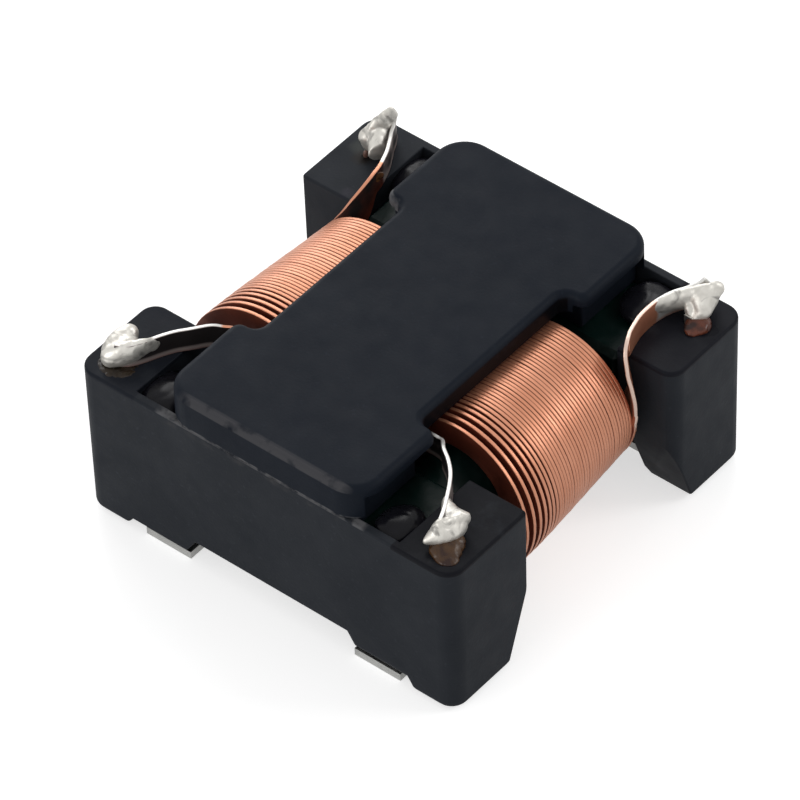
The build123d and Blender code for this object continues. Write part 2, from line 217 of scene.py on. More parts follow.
def moulding_compound(name, dark, pale, stains=(), marks_and_painted_light=()):
    """Near-black moulding compound, from dark to pale, with fine pale specks of glass.

    Stains are given as (centre, reach, colour, share), and ragged marks, among them painted highlights and
    painted shade, as (bands, scale, coverage, colour).
    """
    material, tree, shader, where = finish_nodes(name)
    clouds = spread(tree, grain(tree, where, scale=0.35, detail=6.0), 0, 1, start=0.36, end=0.64)
    colour = blended(tree, clouds, dark, pale)
    specks = spread(tree, grain(tree, where, scale=6.0), low=0, high=0.4, start=0.62, end=0.8)
    colour = blended(tree, specks, colour, [c * 1.8 for c in pale])
    roughness = spread(tree, grain(tree, where, scale=1.3, detail=4.0), low=0.42, high=0.54)
    for centre, reach, stain, share in stains:
        mask = worked(tree, "MULTIPLY", around(tree, where, centre, reach), share)
        colour = blended(tree, mask, colour, stain)
        roughness = worked(tree, "SUBTRACT", roughness, worked(tree, "MULTIPLY", mask, 0.25))
    for bands, scale, coverage, mark in marks_and_painted_light:
        colour = blended(tree, ragged_mark_share(tree, where, bands, scale, coverage), colour, mark)
    tree.links.new(colour, shader.inputs["Base Color"])
    tree.links.new(roughness, shader.inputs["Roughness"])
    shader.inputs["Specular IOR Level"].default_value = 0.055
    relief(tree, shader, grain(tree, where, scale=9.0, detail=4.0), depth=0.012, strength=0.4)
    return material


def darker_top(x_low, x_high, y_low, y_high, colour):
    """Darker patch with a ragged edge that covers the tower top between these places."""
    bands = [("Z", 6.4, 6.7, 0.02), ("X", x_low, x_high, 0.05), ("Y", y_low, y_high, 0.1)]
    return bands, 1.0, 1.2, colour


flux_stains = [
    ((-6.8, -6.95, tower_top), 0.85, (0.014, 0.009, 0.005), 0.85),
    ((-7.3, 6.1, tower_top), 0.45, (0.045, 0.05, 0.045), 0.6),
    ((-6.9, 5.8, tower_top), 0.5, (0.012, 0.009, 0.007), 0.8),
    ((-6.2, 4.1, tower_top), 0.3, (0.02, 0.018, 0.03), 0.6),
    ((7.1, -7.0, tower_top), 0.75, (0.03, 0.014, 0.006), 0.85),
    ((7.2, 6.2, tower_top), 0.75, (0.03, 0.012, 0.006), 0.85),
    ((7.6, 6.4, tower_top), 0.4, (0.035, 0.05, 0.025), 0.5),
]
seam = [("Z", 6.5, 6.62, 0.03), ("Y", -7.9, -7.5, 0.1), ("X", -4.4, 4.2, 0.2)]
under_seam = [("Z", 6.3, 6.6, 0.1), ("Y", -7.9, -7.6, 0.1), ("X", -4.4, 3.6, 0.4)]
# Darker ragged patches over three tower tops; on the two right towers they are painted shade, standing in for
# the shade that falls on those tops
base_marks = [
    darker_top(-8.1, -5.5, -7.9, -3.8, (0.0105, 0.0125, 0.0175)),
    darker_top(5.5, 8.1, -7.9, -3.8, (0.0068, 0.0072, 0.0098)),
    darker_top(5.5, 8.1, 3.8, 7.9, (0.0085, 0.009, 0.0125)),
    (seam, 3.0, 0.75, (0.09, 0.09, 0.095)),
    (under_seam, 1.6, 0.15, (0.035, 0.035, 0.038)),
]
base_dark, base_pale = (0.0165, 0.019, 0.0238), (0.0212, 0.0238, 0.029)
base = softened_moulding("base_moulding", "base", base_break)
base_finish = moulding_compound("base compound", base_dark, base_pale, flux_stains, base_marks)
base.data.materials.append(base_finish)
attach(base, "root")
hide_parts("base")


# ------------------------------------------------------------------------------------------ cover
# Flat pick-up lid over the core and between the windings, moulded in the same nylon. Its rim is rounded
# and its end aprons stand on the base's end walls, where it is glued.
cover_break = 0.05
# painted shade: the lid is a darker, bluer copy of the base's nylon, standing in for the dimmer light its top
# catches
shaded_cover_dark, shaded_cover_pale = (0.007, 0.0095, 0.0148), (0.0088, 0.0115, 0.0172)
# painted highlight: a pale ragged line along the lid's rounded near rim, mostly standing in for the rim's
# glint and partly wear
near_rim_highlight = [("Z", 7.7, 7.9, 0.04), ("Y", -7.8, -7.52, 0.05), ("X", -3.2, 3.4, 0.4)]
# painted shade: the lid's side above the right winding is darkened nearly to black, standing in for the
# shadow under the lid's edge
waist_side_painted_shade = [("Z", 6.3, 7.68, 0.08), ("X", 3.2, 3.6, 0.05), ("Y", -4.2, 4.2, 0.1)]
# pale patch at the lid's far-left notch: a glue smear, with a painted highlight standing in for its glint
far_left_notch_glint = [("Z", 7.4, 7.86, 0.03), ("X", -4.3, -3.7, 0.1), ("Y", 3.6, 4.1, 0.1)]
cover_marks = [
    (near_rim_highlight, 1.4, 0.9, (0.05, 0.05, 0.055)),
    (waist_side_painted_shade, 1.0, 1.2, (0.002, 0.002, 0.003)),
    (seam, 3.0, 0.6, (0.09, 0.09, 0.095)),
    (far_left_notch_glint, 1.2, 1.0, (0.1, 0.102, 0.108)),
]
cover = softened_moulding("cover_moulding", "cover", lambda place: cover_break)
cover.data.materials.append(
    moulding_compound("cover compound", shaded_cover_dark, shaded_cover_pale, marks_and_painted_light=cover_marks)
)
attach(cover, "root")
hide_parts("cover")


# ------------------------------------------------------------------------------------------ ferrite core
# Two pressed and sintered U-shaped halves that make the closed ring inside the windings. The yokes have a
# dark green insulating coat, which shows beside the lid's corners.
def core_coating():
    """Dark green coat on ferrite, smooth and a little mottled."""
    material, tree, shader, where = finish_nodes("green core coating")
    mottle = spread(tree, grain(tree, where, scale=0.9, detail=4.0), 0, 1)
    green = blended(tree, mottle, (0.0006, 0.005, 0.0042), (0.0012, 0.011, 0.009))
    tree.links.new(green, shader.inputs["Base Color"])
    dulled = spread(tree, grain(tree, where, scale=2.5), low=0.3, high=0.5)
    tree.links.new(dulled, shader.inputs["Roughness"])
    shader.inputs["Specular IOR Level"].default_value = 0.2
    relief(tree, shader, grain(tree, where, scale=5.0, detail=4.0), depth=0.02, strength=0.6)
    return material


coating = core_coating()
for half in ("core_half_near", "core_half_far"):
    frame["nodes"][half].data.materials.clear()
    frame["nodes"][half].data.materials.append(coating)


# ------------------------------------------------------------------------------------------ windings
# Two windings of flat enamelled copper wire, wound on edge round the core's legs and mirrored left to
# right. The near turns have sprung open. Each lead-out stands on edge and runs over a tower top, and its
# end has been stripped and tinned for the solder.
turns = 38
wire_width, wire_thickness = 0.95, 0.138
edge_radius = 0.03              # of the corners that rolling has left on the wire
edge_segments = 3               # facets round each of them
steps_per_turn = 64
lead_steps = 10                 # between two given points of a lead-out
leg_x, axis_height, bay_half = 3.9, 4.15, 3.85
winding_radius = 2.88
# The near end of a winding is wider, further out and lower than its far end
near_flare, near_splay, near_drop = 0.17, 0.3, 0.08
near_room, far_room = 0.85, 0.57  # between the turns and the walls at the two ends
loose_extra, loose_turns = 0.26, 9  # extra pitch at the near end, and how many turns it fades over
turn_lean = 0.38                # how far the foot of the first turn leans to the near side
uneven = 0.012                  # how far the turns lie out of true
let_go = {-1: 0.0, 1: 0.12}     # how far the end of the last turn has sprung outward
let_go_turn = 0.125             # and over what share of that turn
# Degrees up from the outer side at which the first turn starts and the last one ends
join_angle = 145
leave_angle = {-1: 42, 1: 2}
wire_centre_radius = winding_radius - wire_width / 2
near_axis_x, near_axis_height = leg_x + near_splay, axis_height - near_drop
near_centre_radius = wire_centre_radius + near_flare
winding_start, winding_end = -bay_half + near_room, bay_half - far_room
# The loose turns' extra pitch fades as a square, so that it comes to a third in all
tight_pitch = (winding_end - winding_start - loose_extra * loose_turns / 3) / (turns - 1)
post_x, post_y = 6.75, 6.38
lead_clearance = 0.025          # between a lead-out and the tower top
lead_height = tower_top + wire_width / 2 + lead_clearance
upright = (0, 0, 1)
# Centre lines of the lead-outs in wire widths: on a tower top from the post, inward, back and up; beside a
# winding's near end outward, away and up from its first turn; beside the far end from its last turn
near_tower_points = {
    -1: [
        (-0.2, -0.6, 0),
        (0.18, -0.38, 0),
        (0.45, 0.03, 0),
        (0.77, 0.72, 0),
        (1.03, 1.18, 0),
        (1.36, 1.6, 0),
    ],
    1: [(0.1, -0.35, 0), (0.34, 0.2, 0), (0.61, 0.69, 0), (0.98, 1.31, 0), (1.3, 1.75, 0)],
}
near_winding_points = {
    -1: [(0.93, 0.43, 0.34), (0.7, 0.17, 0.22)],
    1: [(0.9, 0.44, 0.34), (0.36, 0.02, 0.22)],
}
near_entry = {
    -1: [(84, 0.64), (100, 0.54), (120, 0.35)],
    1: [(92, 0.48), (106, 0.36), (124, 0.24)],
}
far_winding_points = {
    -1: [
        ((-0.22, 0.28, 0.48), (0.51, -0.13, 0.86)),
        ((-0.29, 0.62, 0.85), (0.32, -0.05, 0.96)),
        ((-0.29, 1.0, 1.13), (0.14, -0.01, 1.0)),
    ],
    1: [
        ((0.17, 0.12, 0.44), (0.92, -0.38, 0)),
        ((0.26, 0.15, 1.0), (0.8, -0.6, 0)),
        ((0.25, 0.14, 1.52), (0.7, -0.7, 0.1)),
        ((0.1, 0.12, 2.25), (0.58, -0.7, 0.34)),
        ((-0.02, 0.2, 2.68), (0.4, -0.5, 0.66)),
        ((-0.1, 0.36, 2.95), (0.2, -0.26, 0.88)),
    ],
}
far_tower_points = {
    -1: [
        (1.36, 1.85, -0.06),
        (1.3, 1.42, 0),
        (1.17, 1.03, 0),
        (1.0, 0.62, 0),
        (0.74, 0.16, 0),
        (0.51, -0.22, 0),
        (0.38, -0.5, 0.04),
        (0.26, -0.7, 0.1),
    ],
    1: [
        (0.68, 2.62, 0),
        (0.81, 2.21, 0),
        (0.92, 1.74, 0),
        (0.95, 1.25, 0),
        (0.92, 0.75, 0),
        (0.75, 0.1, 0),
        (0.42, -0.42, 0.05),
        (0.1, -0.82, 0.22),
        (-0.06, -1.1, 0.42),
    ],
}


def wound_length(side):
    """Stations (centre, width direction) of the turns, one winding's wound length."""
    sweep = 360 * (turns - 1) + leave_angle[side] - join_angle
    steps = round(sweep / 360 * steps_per_turn)
    stations = []
    y = winding_start
    for i in range(steps + 1):
        turn = i / steps * sweep / 360
        nearness = 1 - i / steps
        slack = max(0.0, 1 - turn / loose_turns) ** 2
        angle = math.radians(join_angle + 360 * turn)
        left = (steps - i) / steps_per_turn
        settled = min(1.0, i / steps_per_turn, left) * uneven
        radius = wire_centre_radius + near_flare * nearness
        radius += settled * noise.noise(Vector((turn * 1.7, side * 3.1, 0.4)))
        radius += let_go[side] * max(0.0, 1 - left / let_go_turn) ** 2
        radial = Vector((side * math.cos(angle), 0, math.sin(angle)))
        middle = Vector((side * (leg_x + near_splay * nearness), y, axis_height - near_drop * nearness))
        lean = turn_lean * slack * (1 - math.sin(angle)) / 2
        lean += settled * 1.5 * noise.noise(Vector((turn * 2.3, side * 5.7, 8.2)))
        stations.append((middle + radial * radius - Vector((0, lean, 0)), radial))
        y += (tight_pitch + loose_extra * slack) * sweep / 360 / steps
    return stations


def tower_stations(side, end, points):
    """Stations on a tower top, for points in wire widths from the terminal post."""
    stations = []
    for inward, back, up in points:
        x, y = post_x - inward * wire_width, post_y - back * wire_width
        stations.append((Vector((side * x, end * y, lead_height + up * wire_width)), Vector(upright)))
    return stations


def near_lead(side):
    """Given stations from the near joint to the first turn."""
    stations = tower_stations(side, -1, near_tower_points[side])
    for out, beyond, up in near_winding_points[side]:
        x, y = near_axis_x + out * wire_width, -bay_half - beyond * wire_width
        place = Vector((side * x, y, near_axis_height + near_centre_radius + up * wire_width))
        stations.append((place, Vector(upright)))
    for degrees, ahead in near_entry[side]:
        angle = math.radians(degrees)
        radial = Vector((side * math.cos(angle), 0, math.sin(angle)))
        middle = Vector((side * near_axis_x, winding_start - ahead * wire_width, near_axis_height))
        stations.append((middle + radial * near_centre_radius, radial))
    return stations


def far_lead(side):
    """Given stations from the last turn to the far joint."""
    angle = math.radians(leave_angle[side])
    leave_x = leg_x + wire_centre_radius * math.cos(angle)
    leave_z = axis_height + wire_centre_radius * math.sin(angle)
    stations = []
    for (out, along, up), (edge_out, edge_along, edge_up) in far_winding_points[side]:
        x = side * (leave_x + out * wire_width)
        place = Vector((x, winding_end + along * wire_width, leave_z + up * wire_width))
        stations.append((place, Vector((side * edge_out, edge_along, edge_up))))
    return stations + tower_stations(side, 1, far_tower_points[side])


def eased(given):
    """Stations on a smooth curve through the given ones, from the second to the last but one."""
    result = []
    for i in range(1, len(given) - 2):
        points = [given[i + k][0] for k in (-1, 0, 1, 2)]
        # Knots that follow the square root of the distance keep the curve from looping
        knots = [0.0]
        for a, b in zip(points, points[1:]):
            knots.append(knots[-1] + (b - a).length ** 0.5)
        for k in range(lead_steps):
            t = knots[1] + (knots[2] - knots[1]) * k / lead_steps
            row = points
            for reach in (1, 2):
                row = [
                    row[j].lerp(row[j + 1], (t - knots[j]) / (knots[j + reach] - knots[j]))
                    for j in range(4 - reach)
                ]
            centre = row[0].lerp(row[1], (t - knots[1]) / (knots[2] - knots[1]))
            result.append((centre, given[i][1].lerp(given[i + 1][1], k / lead_steps)))
    return result


def wire_outline():
    """Points (across, through) round the wire's section, with rounded corners."""
    outline = []
    for across_sign, through_sign in ((1, -1), (1, 1), (-1, 1), (-1, -1)):
        for k in range(edge_segments + 1):
            bend = math.pi / 2 * k / edge_segments
            if across_sign == through_sign:
                bend = math.pi / 2 - bend
            across = across_sign * (wire_width / 2 - edge_radius + edge_radius * math.sin(bend))
            through = through_sign * (wire_thickness / 2 - edge_radius + edge_radius * math.cos(bend))
            outline.append((across, through))
    return outline


def wire_mesh(name, stations, tinned, burnt_and_shaded, scraped):
    """Flat wire through the stations, each with its shares of tin, of burnt enamel with painted shade, and of
    scraped enamel.
    """
    outline = wire_outline()
    count = len(outline)
    points, faces, lengths, run = [], [], [], 0.0
    for i, (centre, across) in enumerate(stations):
        ahead = stations[min(i + 1, len(stations) - 1)][0]
        behind = stations[max(i - 1, 0)][0]
        along = (ahead - behind).normalized()
        across = (across - along * across.dot(along)).normalized()
        through = along.cross(across)
        run += (centre - stations[max(i - 1, 0)][0]).length
        lengths.append(run)
        points += [(centre + across * a + through * b) * mm for a, b in outline]
    for i in range(len(stations) - 1):
        for k in range(count):
            a, b = i * count + k, i * count + (k + 1) % count
            faces.append((a, b, b + count, a + count))
    faces.append(tuple(range(count - 1, -1, -1)))
    faces.append(tuple(range(len(points) - count, len(points))))
    mesh = bpy.data.meshes.new(name)
    mesh.from_pydata(points, [], faces)
    for title, values in (("tin", tinned), ("burnt_and_shaded", burnt_and_shaded), ("scraped", scraped)):
        shares = mesh.attributes.new(title, "FLOAT", "POINT")
        shares.data.foreach_set("value", [values[i // count] for i in range(len(points))])
    height = mesh.attributes.new("height", "FLOAT", "POINT")
    height.data.foreach_set("value", [outline[i % count][0] for i in range(len(points))])
    strip = mesh.uv_layers.new(name="drawn length")
    for polygon in mesh.polygons:
        for corner in polygon.loop_indices:
            vertex = mesh.loops[corner].vertex_index
            strip.data[corner].uv = (lengths[vertex // count], vertex % count / count)
    mesh.polygons.foreach_set("use_smooth", [True] * len(mesh.polygons))
    piece = bpy.data.objects.new(name, mesh)
    bpy.context.scene.collection.objects.link(piece)
    bpy.context.view_layer.objects.active = piece
    piece.select_set(True)
    bpy.ops.object.mode_set(mode="EDIT")
    bpy.ops.mesh.select_all(action="SELECT")
    bpy.ops.mesh.normals_make_consistent(inside=False)
    bpy.ops.object.mode_set(mode="OBJECT")
    piece.select_set(False)
    return piece


def marked(tree, title):
    """Share that the wire's mesh carries under this title."""
    mark = tree.nodes.new("ShaderNodeAttribute")
    mark.attribute_name = title
    return mark.outputs["Fac"]


copper_colours = ((0.56, 0.235, 0.135), (0.63, 0.285, 0.175), (0.42, 0.16, 0.085))
# the near-black for the flat sides is soot from the heat together with painted shade
bare_copper, red_enamel, soot_and_painted_shade = (0.66, 0.5, 0.42), (0.19, 0.042, 0.022), (0.012, 0.01, 0.01)
wire_tin = (0.6, 0.59, 0.57)


def enamelled_copper():
    """Copper under amber enamel, deep red on its flat sides, burnt and darkened with painted shade, scraped
    and tinned where marked.
    """
    material, tree, shader, where = finish_nodes("enamelled copper wire")
    lengthwise = tree.nodes.new("ShaderNodeUVMap")
    lengthwise.uv_map = "drawn length"
    stretched = tree.nodes.new("ShaderNodeMapping")
    stretched.inputs["Scale"].default_value = (0.35, 9.0, 1.0)
    tree.links.new(lengthwise.outputs["UV"], stretched.inputs["Vector"])
    streaks = grain(tree, stretched.outputs["Vector"], scale=1.0, detail=4.0)
    tint = spread(tree, grain(tree, where, scale=0.7, detail=4.0), 0, 1)
    copper = blended(tree, tint, copper_colours[0], copper_colours[1])
    copper = blended(tree, spread(tree, streaks, low=0, high=0.4), copper, copper_colours[2])
    # The flat sides and the lower edge, which have kept the darker enamel
    height = marked(tree, "height")
    flat = spread(tree, worked(tree, "ABSOLUTE", height, 0), 1, 0, start=0.45, end=0.47)
    flat = worked(tree, "MAXIMUM", flat, spread(tree, height, 1, 0, start=-0.45, end=-0.3))
    bare = worked(tree, "MULTIPLY", marked(tree, "scraped"), worked(tree, "SUBTRACT", 1.0, flat))
    copper = blended(tree, bare, copper, bare_copper)
    # Heat turns the enamel red; beyond that the flat sides go near-black, soot from the heat together with
    # painted shade standing in for the shadow and dark reflections on the lead-outs, least at the lower edge
    upper = spread(tree, height, low=0.35, high=1, start=-0.42, end=-0.22)
    patches = spread(tree, grain(tree, where, scale=1.2, detail=4.0), low=-0.12, high=0.12)
    burnt_and_shaded = worked(tree, "ADD", marked(tree, "burnt_and_shaded"), patches)
    red = worked(tree, "MULTIPLY", flat, spread(tree, burnt_and_shaded, 0, 1, start=0.0, end=0.5))
    sooty_and_shaded = worked(tree, "MULTIPLY", flat, upper)
    sooty_and_shaded = worked(tree, "MULTIPLY", sooty_and_shaded, spread(tree, burnt_and_shaded, 0, 1, start=0.5, end=1.0))
    copper = blended(tree, red, copper, red_enamel)
    copper = blended(tree, sooty_and_shaded, copper, soot_and_painted_shade)
    # Tin takes on the upper part of the stripped ends, where there is neither soot nor painted shade
    clean_and_unshaded = worked(tree, "SUBTRACT", 1.0, sooty_and_shaded)
    ragged = spread(tree, grain(tree, where, scale=1.8), low=-0.16, high=0.16)
    tin = spread(tree, worked(tree, "ADD", marked(tree, "tin"), ragged), 0, 1, start=0.4, end=0.62)
    tin = worked(tree, "MULTIPLY", tin, clean_and_unshaded)
    tin = worked(tree, "MULTIPLY", tin, spread(tree, height, low=0.2, high=1, start=-0.46, end=-0.3))
    tree.links.new(blended(tree, tin, copper, wire_tin), shader.inputs["Base Color"])
    metal = worked(tree, "MULTIPLY", clean_and_unshaded, spread(tree, red, low=0.82, high=0.45, start=0, end=1))
    tree.links.new(metal, shader.inputs["Metallic"])
    tree.links.new(spread(tree, streaks, low=0.38, high=0.48), shader.inputs["Roughness"])
    tree.links.new(worked(tree, "MULTIPLY", clean_and_unshaded, 0.3), shader.inputs["Coat Weight"])
    shader.inputs["Coat Roughness"].default_value = 0.3
    shader.inputs["Specular IOR Level"].default_value = 0.25
    relief(tree, shader, streaks, depth=0.006, strength=0.5)
    return material


wire_finish = enamelled_copper()
tinned_ends = {-1: (3.6, 2.1), 1: (5.6, 2.2)}    # tinned length at the near and the far end
tin_fade = 0.5                                   # length over which the tin gives out
burnt_and_shaded_leads = {-1: (1.2, 0.92), 1: (1.0, 0.12)}  # how dark the lead-outs' flat sides are, from burning and from painted shade
burnt_and_shaded_turns = 0.58                               # and those of the turns
joined = 5                                       # stations of a turn that a lead-out is eased from
for side, node in ((-1, "winding_left"), (1, "winding_right")):
    wound = wound_length(side)
    leading, trailing = near_lead(side), far_lead(side)
    before = (leading[0][0] * 2 - leading[1][0], leading[0][1])
    after = (trailing[-1][0] * 2 - trailing[-2][0], trailing[-1][1])
    near = eased([before] + leading + [wound[0], wound[joined]])
    far = eased([wound[-1 - joined], wound[-1]] + trailing + [after]) + [trailing[-1]]
    stations = near + wound[:-1] + far
    reach = [0.0]
    for (place, _), (following, _) in zip(stations, stations[1:]):
        reach.append(reach[-1] + (following - place).length)
    tinned, burnt_and_shaded, scraped = [], [], []
    for i, run in enumerate(reach):
        near_share = (tinned_ends[side][0] - run) / tin_fade + 0.5
        far_share = (tinned_ends[side][1] - (reach[-1] - run)) / tin_fade + 0.5
        tinned.append(min(1.0, max(0.0, near_share, far_share)))
        lead = 0 if i < len(near) else 1 if i >= len(near) + len(wound) - 1 else None
        burnt_and_shaded.append(burnt_and_shaded_turns if lead is None else burnt_and_shaded_leads[side][lead])
        scraped.append(1.0 if side > 0 and lead == 1 else 0.0)
    coil = wire_mesh(node + "_wire", stations, tinned, burnt_and_shaded, scraped)
    coil.data.materials.append(wire_finish)
    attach(coil, "root")
    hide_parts(node)


# ------------------------------------------------------------------------------------------ terminals
# Stamped and tinned brass strip, moulded into the base: a pad under each foot and a post that stands up
# through the tower top, where the lead is soldered to it.
def tinned_strip():
    """Hot-dipped tin on stamped strip: pale grey, faintly brushed, a little dull."""
    material, tree, shader, where = finish_nodes("tinned strip")
    brushed = tree.nodes.new("ShaderNodeMapping")
    brushed.inputs["Scale"].default_value = (1.0, 9.0, 1.0)
    tree.links.new(where, brushed.inputs["Vector"])
    lines = grain(tree, brushed.outputs["Vector"], scale=2.0, detail=4.0)
    tree.links.new(blended(tree, lines, (0.44, 0.44, 0.43), (0.62, 0.62, 0.6)), shader.inputs["Base Color"])
    dulled = spread(tree, grain(tree, where, scale=1.5), low=0.3, high=0.5)
    tree.links.new(dulled, shader.inputs["Roughness"])
    shader.inputs["Metallic"].default_value = 1.0
    relief(tree, shader, lines, depth=0.008, strength=0.5)
    return material


strip_finish = tinned_strip()
corners = ("near_left", "near_right", "far_left", "far_right")
for corner in corners:
    strip = frame["nodes"]["terminal_" + corner]
    strip.data.materials.clear()
    strip.data.materials.append(strip_finish)


# ------------------------------------------------------------------------------------------ solder joints
# Hand-soldered lumps on the tower tops, each over a terminal post and the end of a lead. The solder froze
# in folds and peaks as the iron left it.
links = 4                       # drops from one given drop to the next
crease_depth, crease_narrowing = 0.7, 5


def run_together(name, drops, voxel, softening, folds, fold_size):
    """One folded lump, run together from a string of drops.

    The drops are given as (centre, radii, turn), in millimetres and degrees.
    """
    string = list(drops[:1])
    for drop, following in zip(drops, drops[1:]):
        for k in range(1, links + 1):
            string.append([Vector(a).lerp(Vector(b), k / links) for a, b in zip(drop, following)])
    for centre, radii, turn in string:
        bpy.ops.mesh.primitive_uv_sphere_add(
            segments=32,
            ring_count=16,
            radius=mm,
            location=[c * mm for c in centre],
            rotation=[math.radians(a) for a in turn],
            scale=radii,
        )
        bpy.ops.object.transform_apply(location=True, rotation=True, scale=True)
        bpy.context.object.name = name + "_drop"
        bpy.ops.object.select_all(action="DESELECT")
    parts = [o for o in bpy.context.scene.objects if o.name.startswith(name + "_drop")]
    for part in parts:
        part.select_set(True)
    bpy.context.view_layer.objects.active = parts[0]
    bpy.ops.object.join()
    lump = bpy.context.object
    lump.name = name
    lump.data.name = name
    fused = lump.modifiers.new("fused", "REMESH")
    fused.mode = "VOXEL"
    fused.voxel_size = voxel * mm
    bpy.ops.object.modifier_apply(modifier=fused.name)
    eased_skin = lump.modifiers.new("eased", "SMOOTH")
    eased_skin.factor = 0.5
    eased_skin.iterations = softening
    bpy.ops.object.modifier_apply(modifier=eased_skin.name)
    for vertex in lump.data.vertices:
        place = vertex.co / mm / fold_size
        fold = noise.noise(place) + 0.4 * noise.noise(place * 2.3)
        crease = abs(noise.noise(place * 0.8 + Vector((5, 2, 9)))) * crease_narrowing
        fold -= crease_depth * (1 - min(1.0, crease))
        vertex.co += vertex.normal * folds * mm * fold
    lump.data.polygons.foreach_set("use_smooth", [True] * len(lump.data.polygons))
    lump.data.update()
    bpy.ops.object.select_all(action="DESELECT")
    return lump


def hand_solder():
    """Tin solder that froze slowly: pale grey, satin on its crowns, with ragged darker grey patches."""
    material, tree, shader, where = finish_nodes("hand solder")
    mottle = grain(tree, where, scale=2.4, detail=5.0, distortion=0.4)
    grey_patches = spread(tree, grain(tree, where, scale=1.5, distortion=1.2), 0, 1, start=0.56, end=0.68)
    colour = blended(tree, spread(tree, mottle, 0, 1), (0.7, 0.68, 0.63), (0.54, 0.52, 0.48))
    tree.links.new(blended(tree, grey_patches, colour, (0.3, 0.29, 0.27)), shader.inputs["Base Color"])
    tree.links.new(spread(tree, mottle, low=0.4, high=0.55), shader.inputs["Roughness"])
    shader.inputs["Metallic"].default_value = 0.8
    dimples = grain(tree, where, scale=2.4, detail=4.0, distortion=0.6)
    relief(tree, shader, dimples, depth=0.045, strength=0.6)
    return material


solder_finish = hand_solder()
solder_drops = {
    "near_left": [
        ((-7.2, -5.95, 7.08), (0.32, 0.34, 0.38), (0, 0, 0)),
        ((-7.3, -6.4, 6.98), (0.34, 0.8, 0.42), (0, 0, 4)),
        ((-7.15, -6.5, 6.7), (0.5, 0.8, 0.24), (0, 0, 0)),
        ((-6.94, -6.42, 6.98), (0.36, 0.5, 0.42), (0, 0, -20)),
        ((-7.1, -6.9, 6.95), (0.34, 0.42, 0.4), (0, 0, 0)),
        ((-6.74, -6.84, 7.06), (0.26, 0.34, 0.5), (0, 0, -30)),
        ((-6.56, -6.6, 7.12), (0.26, 0.4, 0.48), (0, 0, -30)),
        ((-6.22, -6.12, 7.22), (0.13, 0.46, 0.36), (0, 0, -27)),
    ],
    "near_right": [
        ((6.14, -5.75, 7.08), (0.11, 0.34, 0.44), (0, 0, 28)),
        ((6.68, -6.12, 7.2), (0.34, 0.46, 0.32), (10, 0, -14)),
        ((6.98, -5.86, 7.15), (0.16, 0.26, 0.36), (0, 12, -20)),
        ((6.68, -6.62, 7.12), (0.28, 0.42, 0.48), (0, 0, -16)),
        ((6.76, -6.4, 6.96), (0.44, 0.74, 0.5), (0, 0, -16)),
        ((6.52, -6.92, 6.9), (0.14, 0.36, 0.22), (0, 0, -14)),
    ],
    "far_left": [
        ((-6.56, 7.0, 7.92), (0.1, 0.18, 0.34), (24, 0, -30)),
        ((-6.72, 6.64, 7.46), (0.24, 0.44, 0.56), (20, 0, -30)),
        ((-7.02, 6.18, 7.14), (0.3, 0.3, 0.34), (0, 0, -30)),
        ((-6.85, 6.35, 6.8), (0.34, 0.38, 0.3), (0, 0, -30)),
        ((-6.62, 6.34, 7.14), (0.24, 0.4, 0.46), (0, 0, -30)),
        ((-6.36, 6.0, 6.98), (0.1, 0.4, 0.38), (0, 0, -30)),
    ],
    "far_right": [
        ((5.96, 5.9, 7.22), (0.1, 0.54, 0.36), (0, 0, -14)),
        ((6.3, 6.5, 7.2), (0.24, 0.56, 0.42), (0, 0, -32)),
        ((7.12, 7.2, 7.56), (0.22, 0.3, 0.36), (12, 0, -40)),
        ((6.86, 6.9, 7.2), (0.42, 0.5, 0.46), (0, 0, -38)),
        ((7.04, 6.64, 6.98), (0.32, 0.32, 0.32), (0, 0, 0)),
        ((6.85, 6.6, 6.76), (0.38, 0.42, 0.24), (0, 0, 0)),
        ((6.66, 6.44, 7.02), (0.18, 0.2, 0.22), (0, 0, 0)),
    ],
}
for corner in corners:
    drops = solder_drops[corner]
    joint = run_together("solder_" + corner, drops, voxel=0.035, softening=10, folds=0.03, fold_size=0.55)
    joint.data.materials.append(solder_finish)
    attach(joint, "root")
    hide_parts("solder_joint_" + corner)

splash_drop = ((-5.08, -4.02, 6.66), (0.15, 0.24, 0.14), (0, 0, -40))
splash = run_together("solder_splash", [splash_drop], voxel=0.03, softening=2, folds=0.01, fold_size=0.3)
splash.data.materials.append(solder_finish)
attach(splash, "root")


# ------------------------------------------------------------------------------------------ flux
# Rosin that ran out from under the solder and set on the tower tops, with a flake of it on the far left
# lead-out and a cap on the tip of the far left post. It is amber to dark red, and nearly black where thick.
def set_rosin(name, thin, thick):
    """Clear brown rosin with a glossy skin, from thin to thick in colour."""
    material, tree, shader, where = finish_nodes(name)
    clouds = grain(tree, where, scale=1.8, detail=4.0, distortion=0.5)
    clouds = spread(tree, clouds, 0, 1, start=0.38, end=0.62)
    tree.links.new(blended(tree, clouds, thick, thin), shader.inputs["Base Color"])
    skin = spread(tree, grain(tree, where, scale=3.0), low=0.16, high=0.42)
    tree.links.new(skin, shader.inputs["Roughness"])
    shader.inputs["Specular IOR Level"].default_value = 0.3
    relief(tree, shader, grain(tree, where, scale=4.0, detail=4.0), depth=0.05, strength=0.6)
    return material


